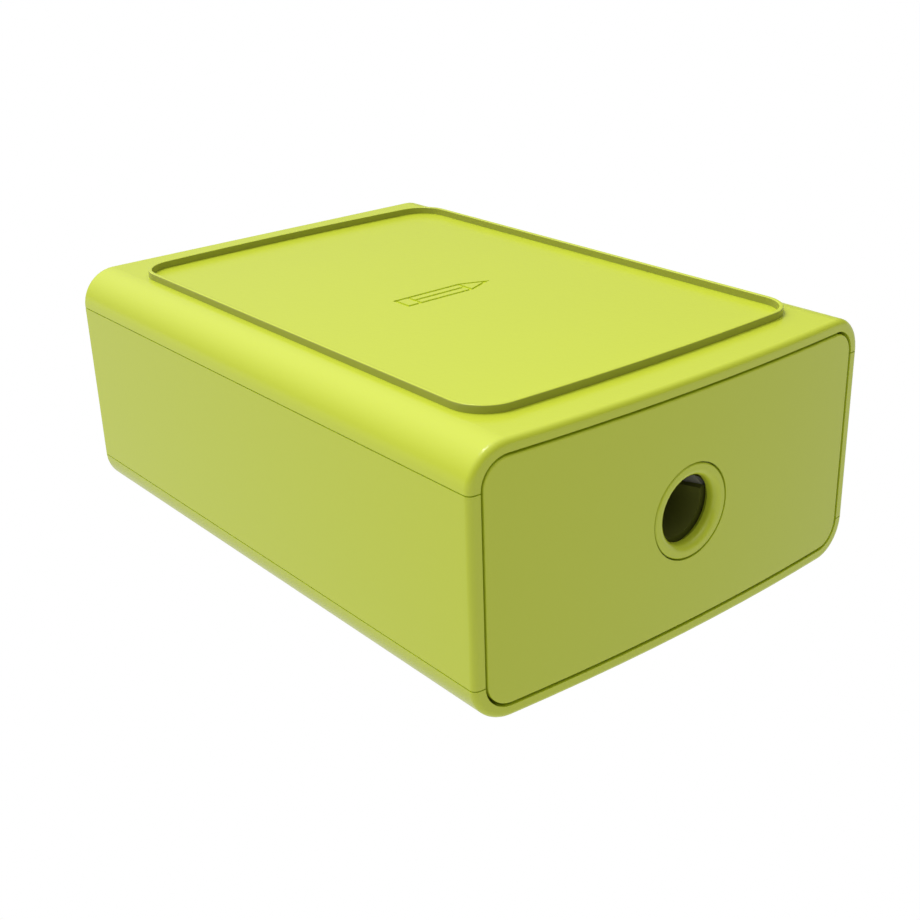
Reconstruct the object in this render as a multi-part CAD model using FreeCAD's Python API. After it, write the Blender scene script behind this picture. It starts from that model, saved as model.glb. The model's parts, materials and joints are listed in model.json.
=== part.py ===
import FreeCAD, Part
import math
import os

# Desk pencil sharpener: a closed box on four feet, with a shavings drawer whose front carries
# the pencil hole. Millimetres; X is across the box, the drawer opens towards -Y, +Z is up.
# The origin is midway along the box, on the surface that the feet stand on.

Vec = FreeCAD.Vector

# ---- driving dimensions: the case -------------------------------------------------------
body_width = 66.9
body_depth = 93.4           # from the middle of the bowed front to the flat rear
body_height = 34.9          # from the underside to the flat top, without feet and rim
front_bow = 1.58            # how far the middle of the front stands out from its corners
corner_radius = 5.3         # long edges of the case
front_round = 0.85          # edge round the front end, and round the rear
rear_round = 0.5
wall = 1.6
rear_wall = 1.8
split_low = 5.2             # seam between the bottom shell and the side band
split_high = 29.5           # seam between the side band and the top cover
seam_width = 0.16
seam_depth = 0.22
lip_thickness = 0.75        # lips of the side band that locate both shells
lip_height = 1.2
lip_clearance = 0.08
foot_proud = 0.6
foot_radius = 4.0
foot_recess = 1.0
foot_x = 22.6               # inside the flat part of the underside, clear of the screws
foot_y = 31.0

# ---- driving dimensions: the rim on top and the engraved pictogram ---------------------------
rim_half_width = 27.4
rim_half_depth = 40.55
rim_bow = 0.87
rim_corner = 5.2
rim_height = 1.1
rim_thickness = 0.6
mark_length = 16.0
mark_width = 3.6
mark_depth = 0.2
mark_line = 0.5
mark_x = 0.0
mark_y = 0.0

# ---- driving dimensions: screws and posts that hold the case together -------------------------
post_x = 27.2
post_y = 38.5
post_radius = 3.0
post_top = 8.0
boss_radius = 2.7
screw_radius = 1.2
screw_head_radius = 2.2
screw_head_height = 1.5
screw_head_depth = 2.0      # from the underside to the head's seat
screw_length = 13.0
thread_clearance = 0.02
hole_clearance = 0.2

# ---- driving dimensions: the drawer ---------------------------------------------------------
gap = 0.38                  # all round the drawer front
front_thickness = 2.2
front_edge_round = 0.2
skirt_thickness = 1.2
skirt_rear = -42.6          # plane where the skirt ends and the tray begins
tray_half_width = 22.0
tray_rear = 39.6
tray_underside = 2.1
tray_floor = 1.6
tray_top = 24.0
tray_wall = 1.2
tray_front_wall = 1.6
tray_corner = 3.0
notch_half_width = 12.6
notch_bottom = 4.6
flange_half_width = 23.6
flange_thickness = 1.4
rail_inner = 23.9
rail_thickness = 1.0
rail_rear = 40.0
hook_inner = 22.4
hook_bottom = 3.9
hook_top = 5.1
hook_front = -40.0
hook_rear = -18.0
stop_length = 2.0
stop_gap = 0.5
runner_x = 15.5
runner_width = 1.0
runner_clearance = 0.1
window_half_width = 12.0
window_half_length = 5.0
window_y = -32.0
pad_length = 19.0
pad_width = 7.0
pad_recess = 0.6
pad_proud = 0.25

# ---- driving dimensions: the pencil hole, the block and its blade -----------------------------
hole_z = 17.4
collar_radius = 6.2
collar_gap = 0.2
collar_flange = 1.1
collar_sleeve_radius = 5.5
sleeve_clearance = 0.05
block_clearance = 0.3       # between the drawer front's back and the block
mouth_radius = 5.7
bell_depth = 1.0
land_length = 0.5           # straight part of the throat, then it opens out again
throat_radius = 4.5
throat_back_radius = 5.0
bore_radius = 4.3           # mouth of the cone in the block
cone_slope = 0.19           # radius lost per millimetre of depth
cone_depth = 18.0
block_length = 20.0
block_half_width = 7.25
block_half_height = 5.2
blade_setback = 0.1         # from the block's front face to the blade
block_tilt = 46.0           # the blade faces up and to the right by this much
chip_depth = 1.2
window_overlap = 2.4
blade_length = 18.5
blade_width = 7.6
blade_thickness = 0.5
blade_bevel = 1.3
blade_screw_s = 4.0
blade_screw_t = 10.5
blade_screw_length = 4.2
holder_wall = 1.3
holder_length = 12.5
holder_top = 0.8
holder_plate_start = 3.0
holder_plate = 1.6
holder_disc_radius = 10.6
holder_ear_s = 11.2
holder_ear_w = -1.0
small_screw_radius = 0.85
small_head_radius = 1.7
small_head_height = 1.1

# ---- driving dimensions: the magnetic catch ---------------------------------------------------
strike_half_width = 6.2
strike_bottom = 5.0
strike_top = 12.0
strike_thickness = 0.8
stake_x = 4.5
stake_radius = 0.7
stake_head_radius = 1.1
stake_head = 0.4
magnet_half_width = 2.5
magnet_bottom = 5.5
magnet_top = 11.5
magnet_thickness = 3.0
magnet_gap = 0.3
catch_wall = 1.2

# ---- worked out from the above ------------------------------------------------------------
half_width = body_width / 2
half_depth = body_depth / 2
front_y = -half_depth
bow_radius = (half_width ** 2 + front_bow ** 2) / (2 * front_bow)
rim_bow_radius = (rim_half_width ** 2 + rim_bow ** 2) / (2 * rim_bow)
opening_half = half_width - wall
opening_top = body_height - wall
opening_radius = corner_radius - wall
rear_inner = half_depth - rear_wall
far = 60.0
block_mouth_y = front_y + front_thickness + block_clearance
cone_angle = math.degrees(math.atan(cone_slope))
tip_radius = bore_radius - cone_slope * cone_depth
drawer_travel = tray_rear - stop_length - hook_rear - stop_gap - 1.0


# ---- shapes that several pieces use -------------------------------------------------------
def box(x_low, x_high, y_low, y_high, z_low, z_high):
    corner = Vec(x_low, y_low, z_low)
    return Part.makeBox(x_high - x_low, y_high - y_low, z_high - z_low, corner)


def post(radius, x, y, z_low, z_high):
    return Part.makeCylinder(radius, z_high - z_low, Vec(x, y, z_low))


def rod(radius, x, z, y_low, y_high):
    return Part.makeCylinder(radius, y_high - y_low, Vec(x, y_low, z), Vec(0, 1, 0))


def mirrored_pair(shape):
    return shape.fuse(shape.mirror(Vec(0, 0, 0), Vec(1, 0, 0)))


def edges_along(shape, direction):
    return [e for e in shape.Edges if abs(e.tangentAt(e.FirstParameter).dot(direction)) > 0.999]


def tunnel(half, z_low, z_high, radius, y_low, y_high):
    """A rounded rectangle in XZ, drawn out along Y."""
    plain = box(-half, half, y_low, y_high, z_low, z_high)
    return plain.makeFillet(radius, edges_along(plain, Vec(0, 1, 0)))


def bowed_block(half, y_front, y_rear, radius, z_low, z_high):
    """A block whose front and rear faces bulge outwards with the given radius."""
    drop = radius - math.sqrt(radius ** 2 - half ** 2)
    front = Part.Arc(Vec(-half, y_front + drop, z_low), Vec(0, y_front, z_low),
                     Vec(half, y_front + drop, z_low))
    right = Part.LineSegment(Vec(half, y_front + drop, z_low), Vec(half, y_rear - drop, z_low))
    rear = Part.Arc(Vec(half, y_rear - drop, z_low), Vec(0, y_rear, z_low),
                    Vec(-half, y_rear - drop, z_low))
    left = Part.LineSegment(Vec(-half, y_rear - drop, z_low), Vec(-half, y_front + drop, z_low))
    outline = Part.Wire([curve.toShape() for curve in (front, right, rear, left)])
    return Part.Face(outline).extrude(Vec(0, 0, z_high - z_low))


def case_body(inset):
    """The case's outer form, smaller by inset, before it is cut into shells."""
    body = tunnel(half_width - inset, inset, body_height - inset, corner_radius - inset,
                  -far, half_depth - inset)
    body = body.common(bowed_block(half_width + 2, front_y + inset, 2 * far, bow_radius, -1, far))
    near_end = half_depth - front_bow - 1
    front_rim = [e for e in body.Edges if all(v.Y < -near_end for v in e.Vertexes)]
    body = body.makeFillet(front_round, front_rim)
    rear_rim = [e for e in body.Edges if all(v.Y > near_end for v in e.Vertexes)]
    return body.makeFillet(rear_round, rear_rim)


def case_slab(inset, z_low, z_high):
    return bodies[inset].common(box(-far, far, -far, far, z_low, z_high))


def cavity():
    return tunnel(opening_half, wall, opening_top, opening_radius, -far, rear_inner)


def seam_cut(z_low, z_high):
    """The shadow line cut into the skin on one side of a seam."""
    slab = box(-far, far, -far, far, z_low, z_high)
    return slab.cut(case_slab(seam_depth, z_low, z_high))


def lip_ring(inner_growth, outer_growth, z_low, z_high):
    """A U-shaped strip inside the side and rear walls, open at the front."""
    outer_x = opening_half + outer_growth
    inner_x = opening_half - inner_growth
    front = skirt_rear + 1.0
    outer = box(-outer_x, outer_x, front, rear_inner + outer_growth, z_low, z_high)
    return outer.cut(box(-inner_x, inner_x, -far, rear_inner - inner_growth, z_low, z_high))


def at_posts(make):
    """One shape at each of the four screw posts, as a list."""
    spots = [(sx * post_x, sy * post_y) for sy in (-1, 1) for sx in (-1, 1)]
    return [make(x, y) for x, y in spots]


def fused(shapes):
    whole = shapes[0]
    for shape in shapes[1:]:
        whole = whole.fuse(shape)
    return whole.removeSplitter()


def slotted_screw(radius, length, head_radius, head_height, slot_width, slot_depth):
    """A screw along +Z, its head's underside at zero, its shank below."""
    head = Part.makeCylinder(head_radius, head_height)
    head = head.makeFillet(head_height * 0.35, [head.Edges[0]])
    slot = box(-far, far, -slot_width / 2, slot_width / 2, head_height - slot_depth, far)
    tip = Part.makeCone(radius * 0.45, radius, radius, Vec(0, 0, -length))
    shank = Part.makeCylinder(radius, length - radius, Vec(0, 0, -length + radius))
    return fused([head.cut(slot), shank, tip])


# ---- the case ----------------------------------------------------------------------------
def rim():
    outer = bowed_block(rim_half_width, -rim_half_depth, rim_half_depth, rim_bow_radius,
                        body_height - 0.5, body_height + rim_height)
    outer = outer.makeFillet(rim_corner, edges_along(outer, Vec(0, 0, 1)))
    inner = bowed_block(rim_half_width - rim_thickness, -rim_half_depth + rim_thickness,
                        rim_half_depth - rim_thickness, rim_bow_radius,
                        body_height - 1, body_height + rim_height + 1)
    inner = inner.makeFillet(rim_corner - rim_thickness, edges_along(inner, Vec(0, 0, 1)))
    ring = outer.cut(inner)
    top = body_height + rim_height
    crest = [e for e in ring.Edges if all(abs(v.Z - top) < 0.001 for v in e.Vertexes)]
    return ring.makeFillet(rim_thickness * 0.3, crest)


def pencil_pictogram():
    """A plain outline pencil, engraved in the rim's floor."""
    half_length = mark_length / 2
    half = mark_width / 2
    z_low = body_height - mark_depth
    z_high = body_height + 1
    shoulder = half_length - 1.2 * mark_width
    ferrule = -half_length + 0.6 * mark_width
    corners = [Vec(-half_length, -half, z_low), Vec(shoulder, -half, z_low),
               Vec(half_length, 0, z_low), Vec(shoulder, half, z_low),
               Vec(-half_length, half, z_low), Vec(-half_length, -half, z_low)]
    outline = Part.Wire(Part.makePolygon(corners))
    rise = Vec(0, 0, z_high - z_low)
    frame = Part.Face(outline).extrude(rise)
    frame = frame.cut(Part.Face(outline.makeOffset2D(-mark_line)).extrude(rise))
    collar = box(shoulder - mark_line, shoulder, -half, half, z_low, z_high)
    cap = box(ferrule, ferrule + mark_line, -half, half, z_low, z_high)
    stripe = box(ferrule, shoulder, -mark_line / 2, mark_line / 2, z_low, z_high)
    mark = fused([frame, collar, cap, stripe])
    mark.translate(Vec(mark_x, mark_y, 0))
    return mark


def top_cover():
    shell = case_slab(0, split_high, body_height).cut(cavity())
    shell = shell.cut(seam_cut(split_high, split_high + seam_width / 2))
    clear = lip_clearance
    shell = shell.cut(lip_ring(0.6, lip_thickness + clear, split_high - 1,
                               split_high + lip_height + clear))
    bosses = at_posts(lambda x, y: post(boss_radius, x, y, post_top, opening_top + 0.5))
    pilots = at_posts(lambda x, y: post(screw_radius + thread_clearance, x, y,
                                        post_top - 1, post_top + screw_length - 3))
    cover = fused([shell, rim()] + bosses)
    cover = cover.cut(fused(pilots))
    return cover.cut(pencil_pictogram())


def side_band():
    band = case_slab(0, split_low, split_high).cut(cavity())
    band = band.cut(seam_cut(split_high - seam_width / 2, split_high))
    band = band.cut(seam_cut(split_low, split_low + seam_width / 2))
    upper = lip_ring(0, lip_thickness, split_high - 1, split_high + lip_height)
    lower = lip_ring(0, lip_thickness, split_low - lip_height, split_low + 1)
    ribs = []
    for y in (-24.0, 0.0, 24.0):
        rib = box(opening_half - 1.4, opening_half + 0.4, y - 0.5, y + 0.5,
                  split_low + 2, split_high - 2)
        ribs.append(mirrored_pair(rib))
    return fused([band, upper, lower] + ribs)


def finger_window():
    slot = box(-window_half_width, window_half_width, window_y - window_half_length,
               window_y + window_half_length, -1, wall + 0.2)
    corners = edges_along(slot, Vec(0, 0, 1))
    return slot.makeFillet(window_half_length * 0.9, corners)


def drawer_rail():
    """One side: a rib beside the tray's flange, hooked over it at the front."""
    outer = rail_inner + rail_thickness
    rib = box(rail_inner, outer, skirt_rear + 1.4, rail_rear, wall - 0.3, hook_top)
    hook = box(hook_inner, outer, hook_front, hook_rear, hook_bottom, hook_top)
    runner = box(runner_x - runner_width / 2, runner_x + runner_width / 2, skirt_rear + 1.4,
                 rail_rear, wall - 0.3, tray_underside - runner_clearance)
    return fused([rib, hook]).fuse(runner)


def magnet_box():
    """The catch's housing: a pocket for the magnet, open towards the drawer."""
    face = tray_rear + strike_thickness + magnet_gap
    front = face + 0.5
    outer = box(-magnet_half_width - catch_wall, magnet_half_width + catch_wall, front,
                face + magnet_thickness + catch_wall - 0.3, wall - 0.3, magnet_top + catch_wall)
    pocket = box(-magnet_half_width, magnet_half_width, front - 1, face + magnet_thickness,
                 magnet_bottom, magnet_top)
    return outer.cut(pocket)


def bottom_shell():
    shell = case_slab(0, 0, split_low).cut(cavity())
    shell = shell.cut(seam_cut(split_low - seam_width / 2, split_low))
    clear = lip_clearance
    shell = shell.cut(lip_ring(0.6, lip_thickness + clear, split_low - lip_height - clear,
                               split_low + 1))
    posts = at_posts(lambda x, y: post(post_radius, x, y, wall - 0.3, post_top))
    shell = fused([shell, mirrored_pair(drawer_rail()), magnet_box()] + posts)
    recesses = [post(foot_radius + 0.1, x, y, -1, foot_recess) for x, y in foot_spots().values()]
    heads = at_posts(lambda x, y: post(screw_head_radius + hole_clearance, x, y, -1,
                                       screw_head_depth))
    holes = at_posts(lambda x, y: post(screw_radius + hole_clearance, x, y, 0, post_top + 1))
    for group in (recesses, heads, holes):
        shell = shell.cut(fused(group))
    return shell.cut(finger_window())


def foot_spots():
    sides = {"left": -foot_x, "right": foot_x}
    ends = {"front": -foot_y, "rear": foot_y}
    return {"foot_" + end + "_" + side: (sides[side], ends[end]) for end in ends for side in sides}


def foot(x, y):
    disc = post(foot_radius, x, y, -foot_proud, foot_recess)
    lower = [e for e in disc.Edges if all(abs(v.Z + foot_proud) < 0.001 for v in e.Vertexes)]
    return disc.makeFillet(0.3, lower)


def housing_screw(x, y):
    screw = slotted_screw(screw_radius, screw_length, screw_head_radius, screw_head_height,
                          0.6, 0.8)
    screw.rotate(Vec(0, 0, 0), Vec(1, 0, 0), 180)
    screw.translate(Vec(x, y, screw_head_depth - 0.02))
    return screw


def housing_screws():
    return Part.makeCompound(at_posts(housing_screw))


def catch_magnet():
    face = tray_rear + strike_thickness + magnet_gap
    block = box(-magnet_half_width + 0.02, magnet_half_width - 0.02, face,
                face + magnet_thickness - 0.02, magnet_bottom + 0.02, magnet_top - 0.02)
    return block.makeChamfer(0.25, block.Edges)


# ---- the drawer ---------------------------------------------------------------------------
def tray_screw_spots():
    return [(sx * 17.2, z) for z in (8.0, 19.5) for sx in (-1, 1)]


def holder_screw_spots():
    """The two ears of the block's holder, turned with the block about the pencil's axis."""
    angle = math.radians(block_tilt)
    spots = []
    for s in (-holder_ear_s, holder_ear_s):
        x = s * math.cos(angle) + holder_ear_w * math.sin(angle)
        z = -s * math.sin(angle) + holder_ear_w * math.cos(angle)
        spots.append((x, hole_z + z))
    return spots


def drawer_front():
    half = opening_half - gap
    top = opening_top - gap
    low = wall + gap
    radius = opening_radius - gap
    slab = tunnel(half, low, top, radius, -far, skirt_rear)
    slab = slab.common(bowed_block(half_width, front_y, far, bow_radius, 0, body_height))
    face_edges = [e for e in slab.Edges if all(v.Y < skirt_rear - 1 for v in e.Vertexes)]
    slab = slab.makeFillet(front_edge_round, face_edges)
    hollow = tunnel(half - skirt_thickness, low + skirt_thickness, top - skirt_thickness,
                    radius - skirt_thickness, -far, 0)
    behind = bowed_block(half_width, front_y + front_thickness, far, bow_radius, 0, body_height)
    panel = slab.cut(hollow.common(behind))
    ear_face = block_mouth_y + holder_plate_start
    bosses = [rod(2.3, x, z, front_y + 1.5, ear_face) for x, z in holder_screw_spots()]
    bosses += [rod(2.2, x, z, front_y + 1.5, skirt_rear) for x, z in tray_screw_spots()]
    panel = fused([panel] + bosses)
    pilot = small_screw_radius + thread_clearance
    pilots = [rod(pilot, x, z, front_y + 1.0, ear_face + 1) for x, z in holder_screw_spots()]
    pilots += [rod(pilot, x, z, front_y + 1.2, skirt_rear + 1) for x, z in tray_screw_spots()]
    panel = panel.cut(fused(pilots))
    panel = panel.cut(rod(collar_radius + collar_gap, 0, hole_z, front_y - 1,
                          front_y + collar_flange))
    return panel.cut(rod(collar_sleeve_radius + sleeve_clearance, 0, hole_z, front_y - 1,
                         front_y + front_thickness + 1))


def guide_collar():
    """A turned ring: flange, sleeve and a bell mouth that runs into the pencil bore."""
    throat = front_y + bell_depth
    spread = mouth_radius - throat_radius
    bell = (spread ** 2 + bell_depth ** 2) / (2 * spread)
    turn = math.asin(bell_depth / bell) / 2
    middle = Vec(throat_radius + bell * (1 - math.cos(turn)), throat - bell * math.sin(turn), 0)
    mouth = Vec(mouth_radius, front_y, 0)
    edge = 0.15
    land_end = throat + land_length
    points = [Vec(throat_radius, throat, 0), Vec(throat_radius, land_end, 0),
              Vec(throat_back_radius, front_y + front_thickness, 0),
              Vec(collar_sleeve_radius, front_y + front_thickness, 0),
              Vec(collar_sleeve_radius, front_y + collar_flange, 0),
              Vec(collar_radius, front_y + collar_flange, 0),
              Vec(collar_radius, front_y + edge, 0),
              Vec(collar_radius - edge, front_y, 0), mouth]
    curves = [Part.Arc(mouth, middle, Vec(throat_radius, throat, 0)).toShape()]
    for start, end in zip(points, points[1:]):
        curves.append(Part.makeLine(start, end))
    profile = Part.Face(Part.Wire(Part.__sortEdges__(curves)))
    ring = profile.revolve(Vec(0, 0, 0), Vec(0, 1, 0), 360)
    ring.translate(Vec(0, 0, hole_z))
    return ring


def drawer_tray():
    low = tray_underside
    outer = box(-tray_half_width, tray_half_width, skirt_rear, tray_rear, low, tray_top)
    rear_edges = [e for e in edges_along(outer, Vec(0, 0, 1)) if e.Vertexes[0].Y > 0]
    outer = outer.makeFillet(tray_corner, rear_edges)
    inner = box(-tray_half_width + tray_wall, tray_half_width - tray_wall,
                skirt_rear + tray_front_wall, tray_rear - tray_wall, low + tray_floor, far)
    inner_edges = [e for e in inner.Edges if all(v.Z < far - 1 for v in e.Vertexes)]
    inner = inner.makeFillet(1.5, inner_edges + edges_along(inner, Vec(0, 0, 1)))
    tray = outer.cut(inner)
    tray = tray.cut(box(-notch_half_width, notch_half_width, skirt_rear - 1,
                        skirt_rear + tray_front_wall + 0.2, notch_bottom, far))
    flange = box(tray_half_width - 0.5, flange_half_width, skirt_rear, tray_rear - 1.0,
                 low, low + flange_thickness)
    stop = box(hook_inner + 0.2, flange_half_width, tray_rear - 1.0 - stop_length,
               tray_rear - 1.0, low, hook_top - 0.1)
    web = box(tray_half_width - 0.5, hook_inner + 0.4, tray_rear - 1.0 - stop_length,
              tray_rear - 1.0, low, hook_top - 0.1)
    tray = fused([tray, mirrored_pair(fused([flange, stop, web]))])
    rear_face = tray_rear + strike_thickness
    stakes = []
    for x in (-stake_x, stake_x):
        z = (strike_bottom + strike_top) / 2
        stakes.append(rod(stake_radius, x, z, tray_rear - 0.5, rear_face + 0.1))
        stakes.append(rod(stake_head_radius, x, z, rear_face, rear_face + stake_head))
    tray = fused([tray] + stakes)
    tray = tray.cut(box(-pad_length / 2 - 0.05, pad_length / 2 + 0.05,
                        window_y - pad_width / 2 - 0.05, window_y + pad_width / 2 + 0.05,
                        low - 1, low + pad_recess))
    holes = [rod(small_screw_radius + 0.1, x, z, skirt_rear - 1,
                 skirt_rear + tray_front_wall + 1) for x, z in tray_screw_spots()]
    return tray.cut(fused(holes))


def finger_pad():
    low = tray_underside - pad_proud
    pad = box(-pad_length / 2, pad_length / 2, window_y - pad_width / 2,
              window_y + pad_width / 2, low, tray_underside + pad_recess - 0.02)
    grooves = [box(-far, far, y - 0.3, y + 0.3, low - 1, low + 0.2)
               for y in [window_y + 1.4 * i for i in (-2, -1, 0, 1, 2)]]
    return pad.cut(fused(grooves))


def screws_along_y(spots, seat_y, length):
    """Small slotted screws driven towards the front, heads behind seat_y."""
    screws = []
    for x, z in spots:
        screw = slotted_screw(small_screw_radius, length, small_head_radius,
                              small_head_height, 0.45, 0.5)
        screw.rotate(Vec(0, 0, 0), Vec(1, 0, 0), -90)
        screw.translate(Vec(x, seat_y, z))
        screws.append(screw)
    return Part.makeCompound(screws)


def strike_plate():
    plate = box(-strike_half_width, strike_half_width, tray_rear + 0.02,
                tray_rear + strike_thickness - 0.02, strike_bottom, strike_top)
    plate = plate.makeFillet(1.0, edges_along(plate, Vec(0, 1, 0)))
    z = (strike_bottom + strike_top) / 2
    holes = [rod(stake_radius + 0.03, x, z, tray_rear - 1, tray_rear + 3)
             for x in (-stake_x, stake_x)]
    return plate.cut(fused(holes))


# ---- the cutting block: drawn upright with its mouth at the origin, then turned and placed -------
def placed(shape, origin, axis, angle):
    turn = FreeCAD.Placement(origin, FreeCAD.Rotation(axis, angle))
    moved = shape.copy()
    moved.Placement = turn.multiply(shape.Placement)
    return moved


def on_pencil_axis(shape):
    return placed(shape, Vec(0, block_mouth_y, hole_z), Vec(0, 1, 0), block_tilt)


def on_blade_seat(shape):
    """From a frame whose XY plane is the blade's seat to the block's own frame."""
    return placed(shape, Vec(0, 0, bore_radius), Vec(1, 0, 0), -cone_angle)


def block_section(growth, y_low, y_high, top):
    return box(-block_half_width - growth, block_half_width + growth, y_low, y_high,
               -block_half_height - growth, top)


def sharpener_block():
    block = block_section(0, 0, block_length, block_half_height)
    block = block.makeFillet(1.2, [e for e in edges_along(block, Vec(0, 1, 0))
                                   if e.Vertexes[0].Z < 0])
    above = on_blade_seat(box(-far, far, -1, far, 0, far))
    chips = on_blade_seat(box(-far, -0.5, -1, far, -chip_depth, 1))
    window = on_blade_seat(box(-0.6, window_overlap, -1, cone_depth - 0.5, -0.6, 1))
    block = block.cut(above).cut(chips).cut(window)
    cone = Part.makeCone(bore_radius, tip_radius, cone_depth, Vec(0, 0, 0), Vec(0, 1, 0))
    exit_hole = rod(tip_radius, 0, 0, cone_depth - 0.1, block_length + 1)
    block = block.cut(cone).cut(exit_hole)
    pilot = Part.makeCylinder(screw_radius + thread_clearance, blade_screw_length + 1,
                              Vec(blade_screw_s, blade_screw_t, -blade_screw_length - 0.1))
    block = block.cut(on_blade_seat(pilot))
    grips = []
    for i in range(5):
        y = 10.6 + 1.8 * i
        for side in (-1, 1):
            grips.append(Part.makeCylinder(0.45, 2 * far, Vec(side * block_half_width, y, -far)))
    block = block.cut(fused(grips))
    whole = max(block.Solids, key=lambda solid: solid.Volume)   # drops a sliver by the chip gap
    return on_pencil_axis(whole)


def sharpener_blade():
    corners = [Vec(0, 0, 0), Vec(blade_width, 0, 0), Vec(blade_width, 0, blade_thickness),
               Vec(blade_bevel, 0, blade_thickness), Vec(0, 0, 0.03), Vec(0, 0, 0)]
    profile = Part.Face(Part.Wire(Part.makePolygon(corners)))
    blade = profile.extrude(Vec(0, blade_length, 0))
    blade.translate(Vec(0, blade_setback, 0.01))
    hole = Part.makeCylinder(screw_radius + 0.1, 3, Vec(blade_screw_s, blade_screw_t, -1))
    return on_pencil_axis(on_blade_seat(blade.cut(hole)))


def blade_screw():
    screw = slotted_screw(screw_radius, blade_screw_length + blade_thickness, 2.3, 1.2, 0.55, 0.6)
    screw.rotate(Vec(0, 0, 0), Vec(0, 0, 1), 30)
    screw.translate(Vec(blade_screw_s, blade_screw_t, blade_thickness + 0.02))
    return on_pencil_axis(on_blade_seat(screw))


def block_holder():
    clear = 0.08
    shell = block_section(holder_wall, 0.1, holder_length, holder_top)
    shell = shell.makeFillet(1.8, [e for e in edges_along(shell, Vec(0, 1, 0))
                                   if e.Vertexes[0].Z < 0])
    plate_end = holder_plate_start + holder_plate
    disc = rod(holder_disc_radius, 0, 0, holder_plate_start, plate_end)
    ears = []
    for s in (-holder_ear_s, holder_ear_s):
        ears.append(rod(2.6, s, holder_ear_w, holder_plate_start, plate_end))
        inner_s = s * 0.7
        ears.append(box(min(s, inner_s), max(s, inner_s), holder_plate_start, plate_end,
                        holder_ear_w - 2.6, holder_ear_w + 2.6))
    holder = fused([shell, disc] + ears)
    room = block_section(clear, -1, far, far)
    room = room.makeFillet(1.2, [e for e in edges_along(room, Vec(0, 1, 0))
                                 if e.Vertexes[0].Z < 0])
    holder = holder.cut(room)
    blade_room = box(0, blade_width + 1.2, -1, far, holder_top + 0.1, far)
    holder = holder.cut(blade_room)
    holes = [rod(small_screw_radius + 0.1, s, holder_ear_w, 0, holder_length)
             for s in (-holder_ear_s, holder_ear_s)]
    return on_pencil_axis(holder.cut(fused(holes)))


bodies = {inset: case_body(inset) for inset in (0, seam_depth)}


# ---- every piece, by name ---------------------------------------------------------------------
def pieces():
    ear_seat = block_mouth_y + holder_plate_start + holder_plate + 0.02
    made = {
        "top_cover": top_cover(),
        "side_band": side_band(),
        "bottom_shell": bottom_shell(),
        "housing_screws": housing_screws(),
        "catch_magnet": catch_magnet(),
        "drawer_front": drawer_front(),
        "guide_collar": guide_collar(),
        "drawer_tray": drawer_tray(),
        "finger_pad": finger_pad(),
        "tray_screws": screws_along_y(tray_screw_spots(),
                                      skirt_rear + tray_front_wall + 0.02, 4.2),
        "strike_plate": strike_plate(),
        "block_holder": block_holder(),
        "holder_screws": screws_along_y(holder_screw_spots(), ear_seat, 5.4),
        "sharpener_block": sharpener_block(),
        "sharpener_blade": sharpener_blade(),
        "blade_screw": blade_screw(),
    }
    for name, (x, y) in foot_spots().items():
        made[name] = foot(x, y)
    return made


os.makedirs("parts", exist_ok=True)
for name, shape in pieces().items():
    raised = shape.copy()
    raised.translate(Vec(0, 0, foot_proud))
    raised.exportStep("parts/" + name + ".step")
    print(name, "solids", len(raised.Solids), "valid", raised.isValid(),
          "mm3", round(raised.Volume, 1))
print("drawer travel", round(drawer_travel, 2))
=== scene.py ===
import bpy
import json
import math
import numpy as np
from mathutils import Matrix, Vector


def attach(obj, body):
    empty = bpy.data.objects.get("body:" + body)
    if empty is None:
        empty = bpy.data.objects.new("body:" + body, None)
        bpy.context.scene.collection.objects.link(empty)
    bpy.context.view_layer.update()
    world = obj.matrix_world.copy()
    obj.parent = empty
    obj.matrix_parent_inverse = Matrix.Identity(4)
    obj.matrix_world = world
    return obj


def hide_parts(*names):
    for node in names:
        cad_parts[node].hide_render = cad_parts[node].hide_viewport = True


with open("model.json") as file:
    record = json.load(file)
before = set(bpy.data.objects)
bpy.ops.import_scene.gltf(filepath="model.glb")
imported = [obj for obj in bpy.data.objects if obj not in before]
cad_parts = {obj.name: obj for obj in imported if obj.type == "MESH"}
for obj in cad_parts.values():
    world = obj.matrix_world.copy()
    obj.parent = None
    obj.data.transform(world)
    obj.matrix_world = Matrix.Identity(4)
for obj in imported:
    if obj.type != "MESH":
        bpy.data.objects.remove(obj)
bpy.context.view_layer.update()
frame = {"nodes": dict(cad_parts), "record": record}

print("frame loaded:", len(frame["nodes"]), "nodes")

# camera
cameraSetup = {
    "yaw": 38.52,            # degrees to the right of +Y
    "pitchDown": 23.954,
    "roll": -1.842,
    "place": (-0.11557, -0.14713, 0.09271),
    "lens": 54.11,           # on a 36 mm wide sensor
}


def makeCamera(setup):
    # the view direction is turned by yaw, lowered by pitch, then rolled about itself
    yaw, pitch, roll = (math.radians(setup[k]) for k in ("yaw", "pitchDown", "roll"))
    ahead = np.array([math.sin(yaw) * math.cos(pitch), math.cos(yaw) * math.cos(pitch),
                      -math.sin(pitch)])
    side = np.array([math.cos(yaw), -math.sin(yaw), 0.0])
    above = np.cross(side, ahead)
    right = math.cos(roll) * side + math.sin(roll) * above
    up = -math.sin(roll) * side + math.cos(roll) * above
    data = bpy.data.cameras.new("camera")
    data.lens = setup["lens"]
    data.sensor_width = 36.0
    data.clip_start, data.clip_end = 0.005, 20.0
    camera = bpy.data.objects.new("camera", data)
    bpy.context.scene.collection.objects.link(camera)
    matrix = Matrix.Identity(4)
    for row in range(3):
        matrix[row][0], matrix[row][1], matrix[row][2] = right[row], up[row], -ahead[row]
        matrix[row][3] = setup["place"][row]
    camera.matrix_world = matrix
    bpy.context.scene.camera = camera


makeCamera(cameraSetup)
print("camera ready")

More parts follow.
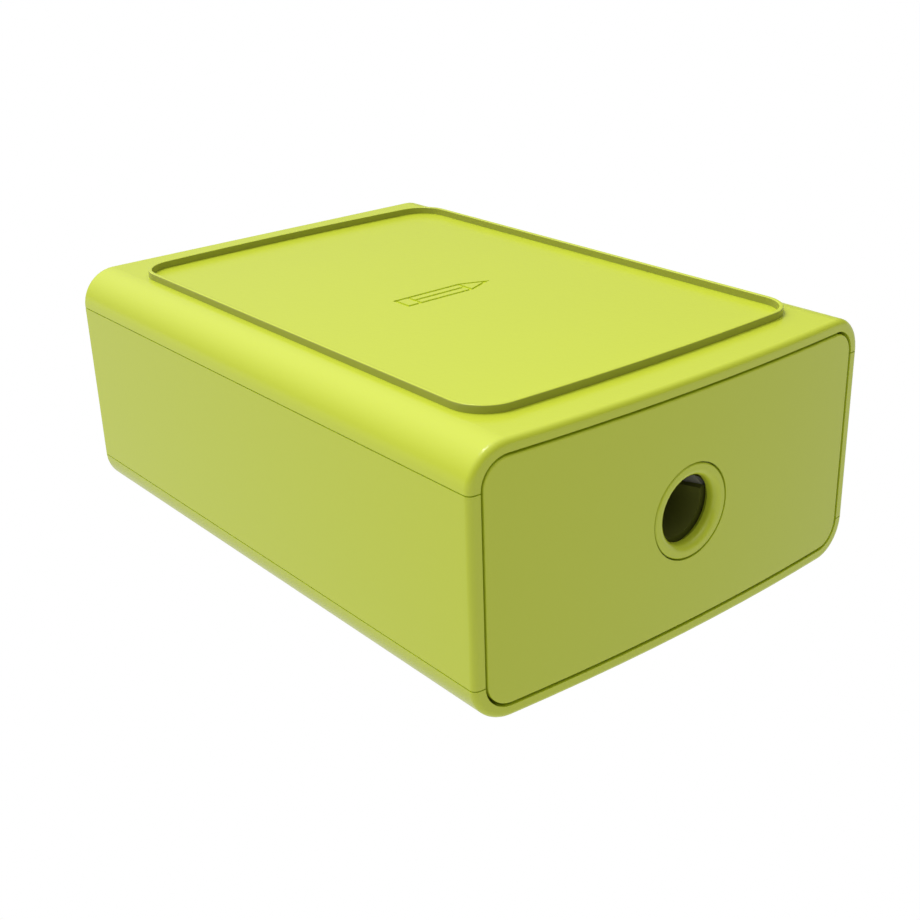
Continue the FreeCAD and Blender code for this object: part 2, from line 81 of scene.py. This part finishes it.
# shader building
def newGroup(name, inputs, outputs):
    # inputs: (name, kind, value), outputs: (name, kind)
    group = bpy.data.node_groups.new(name, "ShaderNodeTree")
    for label, kind, value in inputs:
        socket = group.interface.new_socket(label, in_out="INPUT", socket_type="NodeSocket" + kind)
        if value is not None:
            socket.default_value = value
    for label, kind in outputs:
        group.interface.new_socket(label, in_out="OUTPUT", socket_type="NodeSocket" + kind)
    return group, group.nodes.new("NodeGroupInput"), group.nodes.new("NodeGroupOutput")


def addNode(tree, kind, settings=None, values=None):
    node = tree.nodes.new("ShaderNode" + kind)
    for key, value in (settings or {}).items():
        setattr(node, key, value)
    for key, value in (values or {}).items():
        node.inputs[key].default_value = value
    return node


def makeMouldGrain():
    # fine spark-eroded mould texture: two noises of different size added together
    group, start, end = newGroup("mouldGrain",
                                 [("Vector", "Vector", None), ("Grain", "Float", 4000.0),
                                  ("Depth", "Float", 1.0)],
                                 [("Height", "Float")])
    fine = addNode(group, "TexNoise", values={"Detail": 2.0, "Roughness": 0.6})
    coarse = addNode(group, "TexNoise", values={"Detail": 1.0, "Roughness": 0.5})
    half = addNode(group, "Math", {"operation": "MULTIPLY"}, {1: 0.35})
    mixed = addNode(group, "Math", {"operation": "ADD"})
    scaled = addNode(group, "Math", {"operation": "MULTIPLY"})
    link = group.links.new
    link(start.outputs["Vector"], fine.inputs["Vector"])
    link(start.outputs["Vector"], coarse.inputs["Vector"])
    link(start.outputs["Grain"], fine.inputs["Scale"])
    link(start.outputs["Grain"], half.inputs[0])
    link(half.outputs[0], coarse.inputs["Scale"])
    link(fine.outputs["Fac"], mixed.inputs[0])
    link(coarse.outputs["Fac"], mixed.inputs[1])
    link(mixed.outputs[0], scaled.inputs[0])
    link(start.outputs["Depth"], scaled.inputs[1])
    link(scaled.outputs[0], end.inputs["Height"])
    return group


def makeSoftTint():
    # a colour that drifts a little over the surface, as pigment does in a moulding
    group, start, end = newGroup("softTint",
                                 [("Vector", "Vector", None), ("Colour", "Color", (1, 1, 1, 1)),
                                  ("Drift", "Float", 0.03), ("Size", "Float", 30.0)],
                                 [("Colour", "Color"), ("Mask", "Float")])
    noise = addNode(group, "TexNoise", values={"Detail": 3.0, "Roughness": 0.55})
    centred = addNode(group, "Math", {"operation": "SUBTRACT"}, {1: 0.5})
    spread = addNode(group, "Math", {"operation": "MULTIPLY"})
    lift = addNode(group, "Math", {"operation": "ADD"}, {1: 1.0})
    shade = addNode(group, "HueSaturation")
    link = group.links.new
    link(start.outputs["Vector"], noise.inputs["Vector"])
    link(start.outputs["Size"], noise.inputs["Scale"])
    link(noise.outputs["Fac"], centred.inputs[0])
    link(centred.outputs[0], spread.inputs[0])
    link(start.outputs["Drift"], spread.inputs[1])
    link(spread.outputs[0], lift.inputs[0])
    link(lift.outputs[0], shade.inputs["Value"])
    link(start.outputs["Colour"], shade.inputs["Color"])
    link(shade.outputs["Color"], end.inputs["Colour"])
    link(noise.outputs["Fac"], end.inputs["Mask"])
    return group


def makeWallShade():
    # painted shade for the tray rim walls: 1 on upright faces that stand above a given height, 0
    # elsewhere, with a narrow change between
    group, start, end = newGroup("wallShade", [("Vector", "Vector", None), ("Normal", "Vector", None),
                                               ("Height", "Float", 0.0355)], [("Mask", "Float")])
    place = addNode(group, "SeparateXYZ")
    facing = addNode(group, "SeparateXYZ")
    above = addNode(group, "Math", {"operation": "GREATER_THAN"})
    tilt = addNode(group, "Math", {"operation": "ABSOLUTE"})
    upright = addNode(group, "MapRange", values={"From Min": 0.35, "From Max": 0.75,
                                                 "To Min": 1.0, "To Max": 0.0})
    both = addNode(group, "Math", {"operation": "MULTIPLY"})
    link = group.links.new
    link(start.outputs["Vector"], place.inputs[0])
    link(start.outputs["Normal"], facing.inputs[0])
    link(place.outputs["Z"], above.inputs[0])
    link(start.outputs["Height"], above.inputs[1])
    link(facing.outputs["Z"], tilt.inputs[0])
    link(tilt.outputs[0], upright.inputs["Value"])
    link(above.outputs[0], both.inputs[0])
    link(upright.outputs["Result"], both.inputs[1])
    link(both.outputs[0], end.inputs["Mask"])
    return group


mouldGrain = makeMouldGrain()
wallShade = makeWallShade()
softTint = makeSoftTint()


def placeGroup(tree, group, values):
    node = tree.nodes.new("ShaderNodeGroup")
    node.node_tree = group
    for key, value in values.items():
        node.inputs[key].default_value = value
    return node


def startMaterial(name):
    material = bpy.data.materials.new(name)
    material.use_nodes = True
    tree = material.node_tree
    return material, tree, tree.nodes["Principled BSDF"], addNode(tree, "TexCoord")


def glossRange(tree, roughness, spread):
    # roughness that drifts by the spread to either side of its middle value
    return addNode(tree, "MapRange", {"interpolation_type": "SMOOTHSTEP"},
                   {"From Min": 0.1, "From Max": 0.9,
                    "To Min": roughness - spread, "To Max": roughness + spread})


def mouldedPlastic(name, values):
    material, tree, shader, place = startMaterial(name)
    link = tree.links.new
    tint = placeGroup(tree, softTint, {"Colour": values["colour"], "Drift": values["drift"],
                                       "Size": 28.0})
    grain = placeGroup(tree, mouldGrain, {"Grain": values["grain"], "Depth": 1.0})
    bump = addNode(tree, "Bump", values={"Strength": values["bump"], "Distance": 0.00003})
    gloss = glossRange(tree, values["roughness"], 0.03)
    link(place.outputs["Object"], tint.inputs["Vector"])
    link(place.outputs["Object"], grain.inputs["Vector"])
    # painted shade: a darker colour is mixed in on upright faces above the given height, in place of the
    # shade on the rim walls
    if "paintedShadeColour" in values:
        wall = placeGroup(tree, wallShade, {"Height": values["wallFrom"]})
        blend = addNode(tree, "Mix", {"data_type": "RGBA"}, {7: values["paintedShadeColour"]})
        link(place.outputs["Object"], wall.inputs["Vector"])
        link(addNode(tree, "NewGeometry").outputs["True Normal"], wall.inputs["Normal"])
        link(wall.outputs["Mask"], blend.inputs[0])
        link(tint.outputs["Colour"], blend.inputs[6])
        link(blend.outputs[2], shader.inputs["Base Color"])
    else:
        link(tint.outputs["Colour"], shader.inputs["Base Color"])
    link(tint.outputs["Mask"], gloss.inputs["Value"])
    link(gloss.outputs["Result"], shader.inputs["Roughness"])
    link(grain.outputs["Height"], bump.inputs["Height"])
    link(bump.outputs["Normal"], shader.inputs["Normal"])
    return material


def plainMetal(name, values):
    material, tree, shader, place = startMaterial(name)
    link = tree.links.new
    turn = addNode(tree, "Mapping", values={"Rotation": values["turn"], "Scale": values["stretch"]})
    lines = addNode(tree, "TexNoise", values={"Scale": values["lines"], "Detail": 4.0,
                                              "Roughness": 0.6})
    tint = placeGroup(tree, softTint, {"Colour": values["colour"], "Drift": values["drift"],
                                       "Size": 160.0})
    bump = addNode(tree, "Bump", values={"Strength": values["bump"], "Distance": 0.00002})
    gloss = glossRange(tree, values["roughness"], 0.12)
    shader.inputs["Metallic"].default_value = values["metallic"]
    link(place.outputs["Object"], turn.inputs["Vector"])
    link(turn.outputs["Vector"], lines.inputs["Vector"])
    link(place.outputs["Object"], tint.inputs["Vector"])
    link(tint.outputs["Colour"], shader.inputs["Base Color"])
    link(lines.outputs["Fac"], gloss.inputs["Value"])
    link(gloss.outputs["Result"], shader.inputs["Roughness"])
    link(lines.outputs["Fac"], bump.inputs["Height"])
    link(bump.outputs["Normal"], shader.inputs["Normal"])
    return material


# the second, darker lime colour is painted shade for the rim walls above the body's top
limeValues = {"colour": (0.655, 0.75, 0.050, 1), "drift": 0.006, "roughness": 0.235,
              "paintedShadeColour": (0.37, 0.395, 0.06, 1), "wallFrom": 0.03556,
              "grain": 3800.0, "bump": 0.25}
innerValues = {"colour": (0.61, 0.70, 0.050, 1), "drift": 0.03, "roughness": 0.5,
               "grain": 2600.0, "bump": 0.35}
# the cutter block is the lime plastic darkened to paint the shade inside the pencil hole
paintedShadeBlockValues = {"colour": (0.135, 0.147, 0.022, 1), "drift": 0.05, "roughness": 0.5,
               "grain": 3000.0, "bump": 0.3}
bladeValues = {"colour": (0.50, 0.49, 0.46, 1), "drift": 0.12, "roughness": 0.42, "metallic": 0.55,
               "bump": 0.25, "turn": (0, math.radians(-46), 0), "stretch": (0.06, 1, 1), "lines": 1400.0}
screwValues = {"colour": (0.62, 0.62, 0.60, 1), "drift": 0.1, "roughness": 0.34, "metallic": 1.0,
               "bump": 0.15, "turn": (0, 0, 0), "stretch": (1, 1, 1), "lines": 900.0}
plateValues = {"colour": (0.47, 0.47, 0.46, 1), "drift": 0.15, "roughness": 0.4, "metallic": 1.0,
               "bump": 0.3, "turn": (0, 0, 0), "stretch": (0.05, 1, 1), "lines": 1600.0}
magnetValues = {"colour": (0.68, 0.65, 0.60, 1), "drift": 0.06, "roughness": 0.2, "metallic": 1.0,
                "bump": 0.08, "turn": (0, 0, 0), "stretch": (1, 1, 1), "lines": 700.0}
rubberValues = {"colour": (0.025, 0.025, 0.026, 1), "drift": 0.2, "roughness": 0.72,
                "grain": 5200.0, "bump": 0.5}

materials = {
    "lime_shell": mouldedPlastic("limeShell", limeValues),
    "lime_inner": mouldedPlastic("limeInner", innerValues),
    "block_plastic": mouldedPlastic("blockPlastic", paintedShadeBlockValues),
    "blade_steel": plainMetal("bladeSteel", bladeValues),
    "screw_steel": plainMetal("screwSteel", screwValues),
    "plate_steel": plainMetal("plateSteel", plateValues),
    "magnet_nickel": plainMetal("magnetNickel", magnetValues),
    "foot_rubber": mouldedPlastic("footRubber", rubberValues),
    "grip_rubber": mouldedPlastic("gripRubber", rubberValues),
}

for part in frame["record"]["subparts"]:
    node = frame["nodes"][part["node"]]
    finish = materials[part["material_slot"]]
    for i in range(len(node.material_slots)):
        node.material_slots[i].material = finish
    if not node.material_slots:
        node.data.materials.append(finish)
print("materials ready:", len(materials))

# meshes from grids and profiles
millimetre = 0.001


def buildPiece(name, points, quads, triangles, finish, body, nodes, slotName, sharpAngle=35):
    mesh = bpy.data.meshes.new(name)
    faces = quads.tolist() + triangles.tolist()
    mesh.from_pydata((points * millimetre).tolist(), [], faces)
    mesh.update()
    mesh.shade_smooth()
    mesh.set_sharp_from_angle(angle=math.radians(sharpAngle))
    mesh.materials.append(finish)
    piece = bpy.data.objects.new(name, mesh)
    bpy.context.scene.collection.objects.link(piece)
    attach(piece, body)
    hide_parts(*nodes)


def ringQuads(rings, around, first):
    # quads between neighbouring closed rings whose points are stored one ring after another
    row = np.arange(rings - 1)[:, None] * around + first
    here = np.arange(around)[None, :]
    there = (here + 1) % around
    cells = np.stack([row + here, row + around + here, row + around + there, row + there], -1)
    return cells.reshape(-1, 4)


def joinCopies(parts, matrices):
    points, quads, triangles = parts
    count = len(points)
    moved = []
    for matrix in matrices:
        turn = np.array(matrix)
        moved.append(points @ turn[:3, :3].T + turn[:3, 3])
    quadSets = [quads + count * i for i in range(len(matrices))]
    triangleSets = [triangles + count * i for i in range(len(matrices))]
    return np.concatenate(moved), np.concatenate(quadSets), np.concatenate(triangleSets)


def shiftTo(x, y, z):
    return Matrix.Translation((x, y, z))


def turnAbout(axis, degrees):
    return Matrix.Rotation(math.radians(degrees), 4, axis)


def latheSolid(radii, heights, around=96):
    # a closed turned body: rings of the given radii and heights, ended by a point on the axis at both ends
    angles = np.linspace(0, 2 * math.pi, around, endpoint=False)
    radii, heights = np.array(radii), np.array(heights)
    ringPoints = np.stack([radii[:, None] * np.cos(angles), radii[:, None] * np.sin(angles),
                           heights[:, None] + 0 * angles], -1).reshape(-1, 3)
    last = len(ringPoints)
    points = np.concatenate([ringPoints, [[0, 0, heights[0]], [0, 0, heights[-1]]]])
    quads = ringQuads(len(radii), around, 0)[:, ::-1]
    here = np.arange(around)
    there = (here + 1) % around
    final = last - around
    bottom = np.stack([np.full(around, last), there, here], -1)
    top = np.stack([np.full(around, last + 1), final + here, final + there], -1)
    return points, quads, np.concatenate([bottom, top])

# screws
driver = {"armReach": 0.53, "slotReach": 0.88, "halfWidth": 0.165, "endSlope": 0.1, "sideSlope": 0.045}
screwKinds = {
    "housing": {"radius": 1.2, "length": 13.0, "headRadius": 2.2, "headHeight": 1.5, "pitch": 1.15,
                "thread": 0.26, "dome": 0.25, "driver": "cross", "driverDepth": 0.85},
    "small": {"radius": 0.85, "length": 4.2, "headRadius": 1.7, "headHeight": 1.1, "pitch": 0.75,
              "thread": 0.18, "dome": 0.22, "driver": "cross", "driverDepth": 0.6},
    "ear": {"radius": 0.85, "length": 5.4, "headRadius": 1.7, "headHeight": 1.1, "pitch": 0.75,
            "thread": 0.18, "dome": 0.22, "driver": "cross", "driverDepth": 0.6},
    "blade": {"radius": 1.2, "length": 4.7, "headRadius": 2.3, "headHeight": 1.2, "pitch": 0.5,
              "thread": 0.2, "dome": 0.08, "driver": "slot", "driverDepth": 0.55},
}


def recess(along, across, reach):
    # 1 on the floor of a straight groove, falling to 0 up its end and side slopes
    ends = np.clip((reach - np.abs(along)) / driver["endSlope"], 0, 1)
    sides = np.clip((driver["halfWidth"] - np.abs(across)) / driver["sideSlope"], 0, 1)
    return ends * sides


def screwSolid(kind):
    # the head's top is a square grid pulled out to a disc; its border ring carries on down the
    # head and the shank, where radius = root + crest x a wave that climbs one pitch per turn
    half = np.array([0.08, 0.12, 0.165, 0.24, 0.34, 0.44, 0.53, 0.64, 0.76, 0.88, 0.95, 1.0])
    lines = np.concatenate([-half[::-1], [0.0], half])
    count = len(lines)
    u, v = np.meshgrid(lines, lines, indexing="xy")
    square = np.maximum(np.abs(u), np.abs(v))
    pull = np.clip((square - driver["armReach"]) / 0.35, 0, 1)    # 0 over the recess, 1 at the border
    stretch = 1 - pull + pull * square / np.maximum(np.hypot(u, v), 1e-9)
    cross = kind["driver"] == "cross"
    reach = driver["armReach"] if cross else driver["slotReach"]
    sunk = recess(u, v, reach)
    if cross:
        sunk = np.maximum(sunk, recess(v, u, reach))
    headRadius, headHeight = kind["headRadius"], kind["headHeight"]
    rim = headRadius * 0.93
    distance = np.hypot(u * stretch, v * stretch)
    z = headHeight - kind["dome"] * distance ** 2 - kind["driverDepth"] * sunk
    disc = np.stack([u * stretch * rim, v * stretch * rim, z], -1).reshape(-1, 3)
    index = np.arange(count * count).reshape(count, count)
    cells = np.stack([index[:-1, :-1], index[:-1, 1:], index[1:, 1:], index[1:, :-1]], -1)
    cells = cells.reshape(-1, 4)
    border = np.concatenate([index[0, :-1], index[:-1, -1], index[-1, :0:-1], index[:0:-1, 0]])
    angles = np.arctan2(disc[border, 1], disc[border, 0])
    around = len(border)
    edge = headHeight - kind["dome"]
    rows = [(headRadius * 0.98, edge - 0.05), (headRadius, edge - 0.16), (headRadius, 0.12),
            (headRadius * 0.985, 0.03), (headRadius * 0.96, 0.0), (kind["radius"], 0.0)]
    collar = np.array([r for r, h in rows])[:, None] + 0 * angles
    collarHeight = np.array([h for r, h in rows])[:, None] + 0 * angles
    depth = np.arange(0.05, kind["length"], kind["pitch"] / 8)
    phase = (depth[:, None] / kind["pitch"] + angles / (2 * math.pi)) % 1.0
    wave = np.clip(1.25 - np.abs(2 * phase - 1) * 2.1, 0, 1)
    start = np.clip(depth / 0.6, 0, 1)[:, None]
    taper = np.clip((kind["length"] - depth) / (1.4 * kind["radius"]), 0.12, 1)[:, None]
    shank = (kind["radius"] - kind["thread"] * (1 - wave) * start) * taper ** 0.8
    shankHeight = -depth[:, None] + 0 * angles
    radii = np.concatenate([collar, shank])
    heights = np.concatenate([collarHeight, shankHeight])
    rings = np.stack([radii * np.cos(angles), radii * np.sin(angles), heights], -1).reshape(-1, 3)
    first = len(disc)
    tip = first + len(rings)
    points = np.concatenate([disc, rings, [[0, 0, -kind["length"]]]])
    here = np.arange(around)
    there = (here + 1) % around
    join = np.stack([border[here], first + here, first + there, border[there]], -1)
    quads = np.concatenate([cells, join, ringQuads(len(radii), around, first)])
    final = tip - around
    return points, quads, np.stack([final + here, np.full(around, tip), final + there], -1)


# where the screws sit, in millimetres and degrees
case = {"postX": 27.2, "postY": 38.5, "headSeat": 2.58, "holeHeight": 18.0, "mouthY": -44.2,
        "tilt": 46.0, "boreRadius": 4.3, "coneSlope": 0.19}
tray = {"seatY": -40.98, "across": 17.2, "low": 8.6, "high": 20.1}
ears = {"seatY": -39.58, "along": 11.2, "offset": -1.0}
bladeHead = {"across": 4.0, "deep": 10.5, "seat": 0.52, "turned": 30}

onAxis = shiftTo(0, case["mouthY"], case["holeHeight"]) @ turnAbout("Y", case["tilt"])
coneAngle = math.degrees(math.atan(case["coneSlope"]))
onSeat = onAxis @ shiftTo(0, 0, case["boreRadius"]) @ turnAbout("X", -coneAngle)

housingSpots, traySpots, earSpots = [], [], []
for i, (sx, sy) in enumerate([(-1, -1), (1, -1), (-1, 1), (1, 1)]):
    place = shiftTo(sx * case["postX"], sy * case["postY"], case["headSeat"])
    housingSpots.append(place @ turnAbout("X", 180) @ turnAbout("Z", 20 + 37 * i))
for i, (sx, level) in enumerate([(-1, "low"), (1, "low"), (-1, "high"), (1, "high")]):
    place = shiftTo(sx * tray["across"], tray["seatY"], tray[level])
    traySpots.append(place @ turnAbout("X", -90) @ turnAbout("Z", 15 + 31 * i))
for side in (-1, 1):
    centre = onAxis @ Vector((side * ears["along"], 0, ears["offset"]))
    place = shiftTo(centre[0], ears["seatY"], centre[2])
    earSpots.append(place @ turnAbout("X", -90) @ turnAbout("Z", 25 * side))
bladeSpot = (onSeat @ shiftTo(bladeHead["across"], bladeHead["deep"], bladeHead["seat"])
             @ turnAbout("Z", bladeHead["turned"]))

for name, kind, spots, body, node in (("housingScrews", "housing", housingSpots, "case", "housing_screws"),
                                      ("trayScrews", "small", traySpots, "drawer", "tray_screws"),
                                      ("holderScrews", "ear", earSpots, "drawer", "holder_screws"),
                                      ("bladeScrew", "blade", [bladeSpot], "drawer", "blade_screw")):
    buildPiece(name, *joinCopies(screwSolid(screwKinds[kind]), spots),
               materials["screw_steel"], body, [node], "screw_steel")
print("screws ready")

# rubber feet
footValues = {"radius": 4.0, "height": 1.6, "round": 0.35, "grooves": (1.3, 2.3, 3.2), "grooveHalf": 0.16,
              "grooveDepth": 0.16, "x": 22.6, "y": 31.0}


def footSolid(values):
    # sole radius runs outwards; the sole lifts by the groove depth inside each ring groove
    radii = [0.4]
    heights = [0.0]
    for groove in values["grooves"]:
        for step, lift in ((-1.5, 0), (-1, 0.25), (-0.5, 0.85), (0, 1), (0.5, 0.85), (1, 0.25), (1.5, 0)):
            radii.append(groove + step * values["grooveHalf"])
            heights.append(lift * values["grooveDepth"])
    bend = np.linspace(0, math.pi / 2, 8)
    radii += (values["radius"] - values["round"] * (1 - np.sin(bend))).tolist()
    heights += (values["round"] * (1 - np.cos(bend))).tolist()
    radii += [values["radius"], values["radius"] - 0.05, values["radius"] - 0.12]
    heights += [values["height"] - 0.15, values["height"] - 0.04, values["height"]]
    return latheSolid(radii, heights)


for endName, sy in (("front", -1), ("rear", 1)):
    for sideName, sx in (("left", -1), ("right", 1)):
        nodeName = "foot_" + endName + "_" + sideName
        buildPiece("foot" + endName.title() + sideName.title(),
                   *joinCopies(footSolid(footValues),
                               [shiftTo(sx * footValues["x"], sy * footValues["y"], 0)]),
                   materials["foot_rubber"], "case", [nodeName], "foot_rubber", sharpAngle=50)
print("feet ready")

# finger pad
padValues = {"length": 19.0, "width": 7.0, "y": -32.0, "low": 2.45, "high": 3.28, "ribs": 5,
             "pitch": 1.15, "ribHeight": 0.32, "samples": 81}


def padSolid(values):
    # a loop across the pad, its lower side ribbed by a raised cosine, swept along X and closed
    # at both ends where the ribs run out
    halfWidth = values["width"] / 2
    across = np.linspace(-halfWidth + 0.12, halfWidth - 0.12, values["samples"])
    inside = np.clip((values["ribs"] * values["pitch"] / 2 - np.abs(across)) / 0.1, 0, 1)
    wave = (0.5 + 0.5 * np.cos(2 * math.pi * across / values["pitch"])) ** 0.6 * inside
    low, high = values["low"], values["high"]
    sole = np.concatenate([wave, [0, 0, 0, 0, 0, 0]])
    y = np.concatenate([across, [halfWidth, halfWidth, halfWidth - 0.05,
                                 -halfWidth + 0.05, -halfWidth, -halfWidth]])
    flat = low + values["ribHeight"]
    z = np.concatenate([np.full(values["samples"], flat),
                        [flat + 0.12, high - 0.05, high, high, high - 0.05, flat + 0.12]])
    halfLength = values["length"] / 2
    stations = np.array([-halfLength, -halfLength + 0.6, -halfLength + 0.75, -halfLength + 0.95,
                         -halfLength + 1.2, 0, halfLength - 1.2, halfLength - 0.95, halfLength - 0.75,
                         halfLength - 0.6, halfLength])
    run = np.array([0, 0, 0.55, 0.9, 1, 1, 1, 0.9, 0.55, 0, 0])
    heights = z[None, :] - values["ribHeight"] * run[:, None] * sole[None, :]
    points = np.stack([stations[:, None] + 0 * heights, values["y"] + y[None, :] + 0 * heights,
                       heights], -1)
    around = len(y)
    points = points.reshape(-1, 3)
    quads = ringQuads(len(stations), around, 0)[:, ::-1]
    middle = (low + high) / 2 + 0.1
    ends = np.array([[-halfLength, values["y"], middle], [halfLength, values["y"], middle]])
    here = np.arange(around)
    there = (here + 1) % around
    last = len(points)
    final = last - around
    left = np.stack([np.full(around, last), there, here], -1)
    right = np.stack([np.full(around, last + 1), final + here, final + there], -1)
    return np.concatenate([points, ends]), quads, np.concatenate([left, right])


buildPiece("fingerPad", *padSolid(padValues), materials["grip_rubber"], "drawer", ["finger_pad"],
           "grip_rubber", sharpAngle=40)
print("finger pad ready")

# floor, light and background
studio = {
    "paperGlow": 0.74,       # light that the paper sends back up
    "skyLow": 0.12,          # strength of the surround away from its brightest spot, and there
    "skyHigh": 1.72,
    "skyFocus": 2.2,
    "skyAim": (-0.14, 0.32, 0.937),
    "keyPower": 2.8,
    "keyPlace": (-0.23, 0.22, 0.95),
    "keySize": 0.25,
    "sidePower": 0.12,
    "sidePlace": (-0.9, -0.25, 0.3),
    "sideSize": 0.6,
}


def softBox(name, place, size, power, aim):
    data = bpy.data.lights.new(name, "AREA")
    data.shape = "SQUARE"
    data.size = size
    data.energy = power
    lamp = bpy.data.objects.new(name, data)
    bpy.context.scene.collection.objects.link(lamp)
    direction = Vector(aim) - Vector(place)
    facing = direction.to_track_quat("-Z", "Y").to_matrix().to_4x4()
    lamp.matrix_world = Matrix.Translation(place) @ facing


def makeFloor(values):
    # lit paper: plain white where the camera looks at it, a dimmer even glow for everything else,
    # and clear from below so that the underside can be looked at
    mesh = bpy.data.meshes.new("floor")
    reach = 6.0
    z = -0.0002
    outline = [(-reach, -reach, z), (reach, -reach, z), (reach, reach, z), (-reach, reach, z)]
    mesh.from_pydata(outline, [], [(0, 1, 2, 3)])
    floor = bpy.data.objects.new("floor", mesh)
    bpy.context.scene.collection.objects.link(floor)
    material = bpy.data.materials.new("floorPaper")
    material.use_nodes = True
    tree = material.node_tree
    tree.nodes.remove(tree.nodes["Principled BSDF"])
    seen = addNode(tree, "LightPath")
    strength = addNode(tree, "MapRange", values={"To Min": values["paperGlow"], "To Max": 1.0})
    glow = addNode(tree, "Emission", values={"Color": (1, 1, 1, 1)})
    side = addNode(tree, "NewGeometry")
    clear = addNode(tree, "BsdfTransparent")
    shown = addNode(tree, "MixShader")
    link = tree.links.new
    link(seen.outputs["Is Camera Ray"], strength.inputs["Value"])
    link(strength.outputs["Result"], glow.inputs["Strength"])
    link(side.outputs["Backfacing"], shown.inputs[0])
    link(glow.outputs[0], shown.inputs[1])
    link(clear.outputs[0], shown.inputs[2])
    link(shown.outputs[0], tree.nodes["Material Output"].inputs["Surface"])
    mesh.materials.append(material)


def makeSky(values):
    # white for the camera; for all other rays a surround that fades away from one high spot
    world = bpy.data.worlds.new("studioSky")
    world.use_nodes = True
    tree = world.node_tree
    backdrop = tree.nodes["Background"]
    place = addNode(tree, "TexCoord")
    parts = addNode(tree, "VectorMath", {"operation": "DOT_PRODUCT"}, {1: values["skyAim"]})
    near = addNode(tree, "MapRange", values={"From Min": 0.0, "From Max": 1.0})
    fall = addNode(tree, "Math", {"operation": "POWER"}, {1: values["skyFocus"]})
    rise = addNode(tree, "MapRange", values={"To Min": values["skyLow"], "To Max": values["skyHigh"]})
    seen = addNode(tree, "LightPath")
    either = addNode(tree, "Mix", {"data_type": "FLOAT"}, {"B": 1.0})
    link = tree.links.new
    link(place.outputs["Generated"], parts.inputs[0])
    link(parts.outputs["Value"], near.inputs["Value"])
    link(near.outputs["Result"], fall.inputs[0])
    link(fall.outputs[0], rise.inputs["Value"])
    link(seen.outputs["Is Camera Ray"], either.inputs["Factor"])
    link(rise.outputs["Result"], either.inputs["A"])
    link(either.outputs["Result"], backdrop.inputs["Strength"])
    backdrop.inputs["Color"].default_value = (1, 1, 1, 1)
    bpy.context.scene.world = world


makeFloor(studio)
makeSky(studio)
softBox("keyLight", studio["keyPlace"], studio["keySize"], studio["keyPower"], (0, 0, 0.02))
softBox("sideLight", studio["sidePlace"], studio["sideSize"], studio["sidePower"], (0, 0, 0.02))
bpy.context.scene.view_settings.view_transform = "Standard"
print("studio ready")
